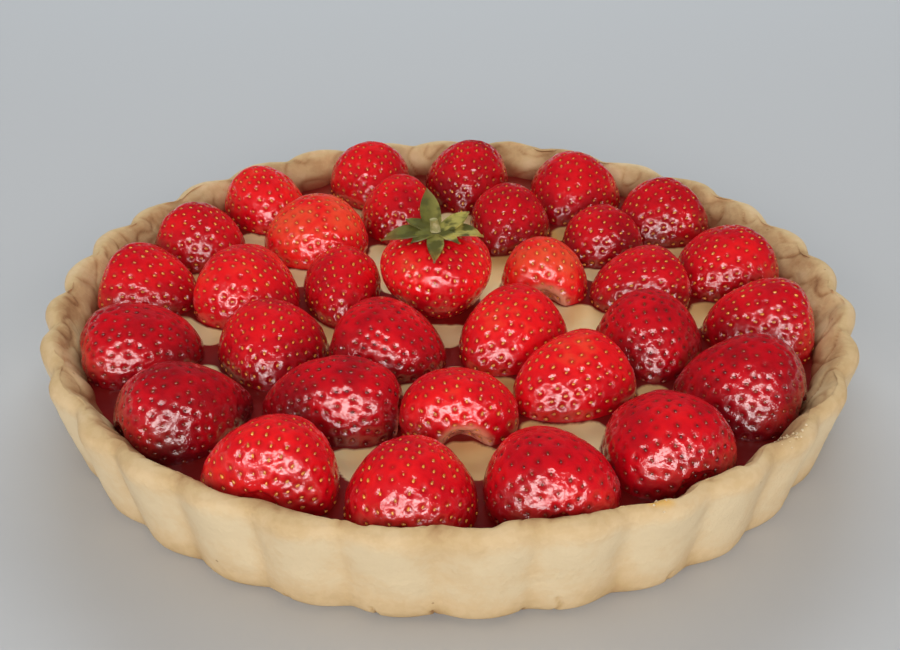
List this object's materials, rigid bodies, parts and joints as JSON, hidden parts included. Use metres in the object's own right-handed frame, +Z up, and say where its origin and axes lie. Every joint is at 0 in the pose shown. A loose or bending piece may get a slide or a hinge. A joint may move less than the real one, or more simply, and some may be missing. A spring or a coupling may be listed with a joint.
{
  "type": "strawberry tart",
  "caption": "Round fluted shortcrust tart filled with custard, topped with rings of glazed halved strawberries and a leafy crown berry.",
  "frame": {"origin": "centre of the tart's flat underside, on its axis, at the level of the surface that it stands on", "axes": "+Z up along the tart's axis, -Y towards the viewer of its front, +X to that viewer's right"},
  "size_m": [0.2394, 0.2396, 0.0527],
  "materials": {
    "shortcrust": "matt baked shortcrust, pale gold, browner at the foot and inside the rim",
    "custard": "smooth satin custard, cream to tan",
    "strawberry": "red strawberry under a clear glaze, with seeds in dimples",
    "leaf": "matt strawberry leaves, olive to yellow-green"
  },
  "bodies": {
    "root": {"crust": "shortcrust", "custard": "custard", "berry_outer_01": "strawberry", "berry_outer_02": "strawberry", "berry_outer_03": "strawberry", "berry_outer_04": "strawberry", "berry_outer_05": "strawberry", "berry_outer_06": "strawberry", "berry_outer_07": "strawberry", "berry_outer_08": "strawberry", "berry_outer_09": "strawberry", "berry_outer_10": "strawberry", "berry_outer_11": "strawberry", "berry_outer_12": "strawberry", "berry_outer_13": "strawberry", "berry_outer_14": "strawberry", "berry_outer_15": "strawberry", "berry_outer_16": "strawberry", "berry_middle_01": "strawberry", "berry_middle_02": "strawberry", "berry_middle_03": "strawberry", "berry_middle_04": "strawberry", "berry_middle_05": "strawberry", "berry_middle_06": "strawberry", "berry_middle_07": "strawberry", "berry_middle_08": "strawberry", "berry_middle_09": "strawberry", "berry_middle_10": "strawberry", "berry_middle_11": "strawberry", "berry_inner_01": "strawberry", "berry_inner_02": "strawberry", "berry_inner_03": "strawberry", "berry_inner_04": "strawberry", "berry_inner_05": "strawberry", "berry_crown": "strawberry", "calyx": "leaf"}
  },
  "joints": []
}
